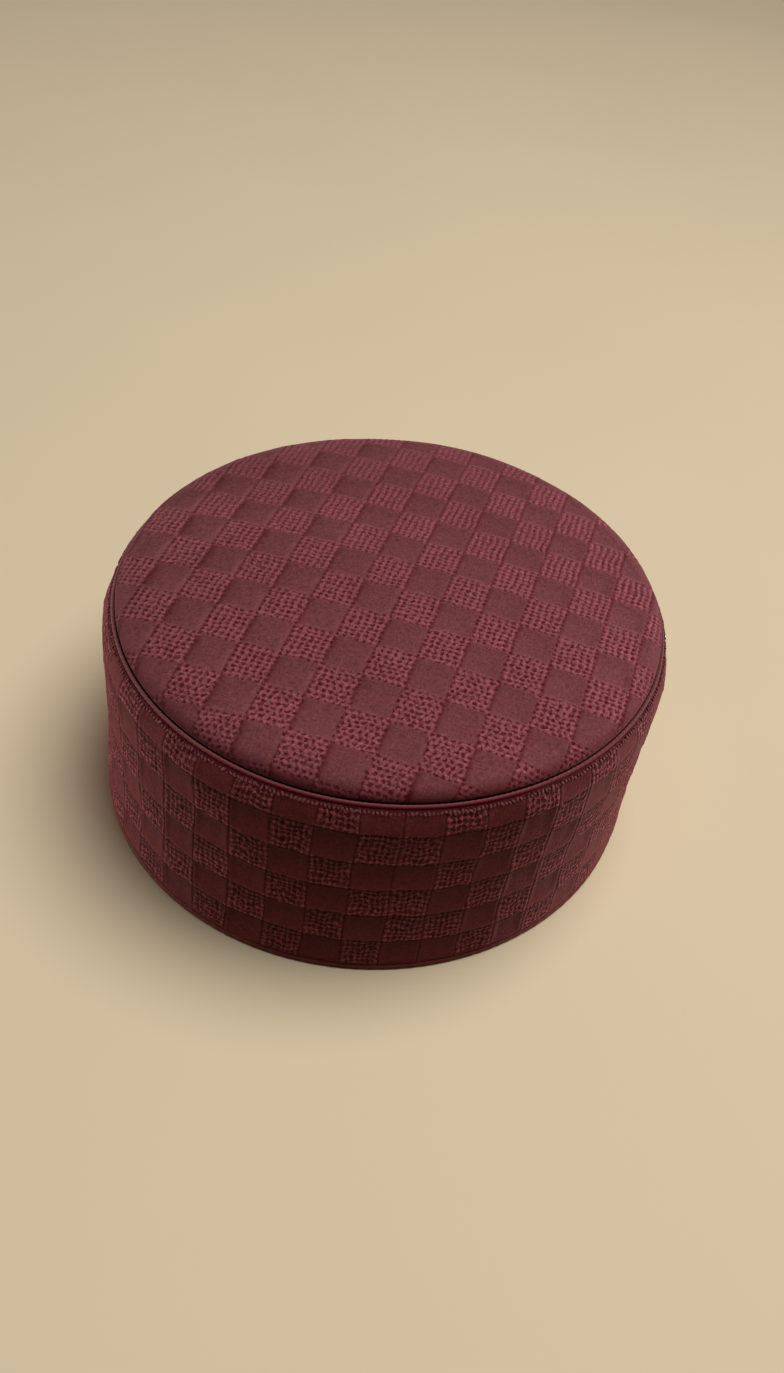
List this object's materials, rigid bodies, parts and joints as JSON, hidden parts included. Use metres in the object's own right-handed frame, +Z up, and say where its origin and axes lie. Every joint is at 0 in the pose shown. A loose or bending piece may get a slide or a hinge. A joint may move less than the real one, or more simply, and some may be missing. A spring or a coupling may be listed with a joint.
{
  "type": "prayer cap",
  "caption": "Low round prayer cap of checked maroon cloth: a padded flat crown, piped at its seam, on an upright side band with a rolled hem.",
  "frame": {"origin": "centre of the rim on the surface that the cap rests on", "axes": "+Z up through the crown, +X along the long way of the slightly oval plan, the band's join towards -Y"},
  "size_m": [0.1908, 0.1798, 0.0895],
  "materials": {
    "crown_cloth": "matte checked weave, smooth and open knit",
    "piping_cord": "matte twisted cord",
    "band_cloth": "matte checked weave, smooth and open knit",
    "hem_cloth": "matte rolled cloth"
  },
  "bodies": {
    "root": {"crown": "crown_cloth", "piping": "piping_cord", "side_band": "band_cloth", "hem": "hem_cloth"}
  },
  "joints": []
}
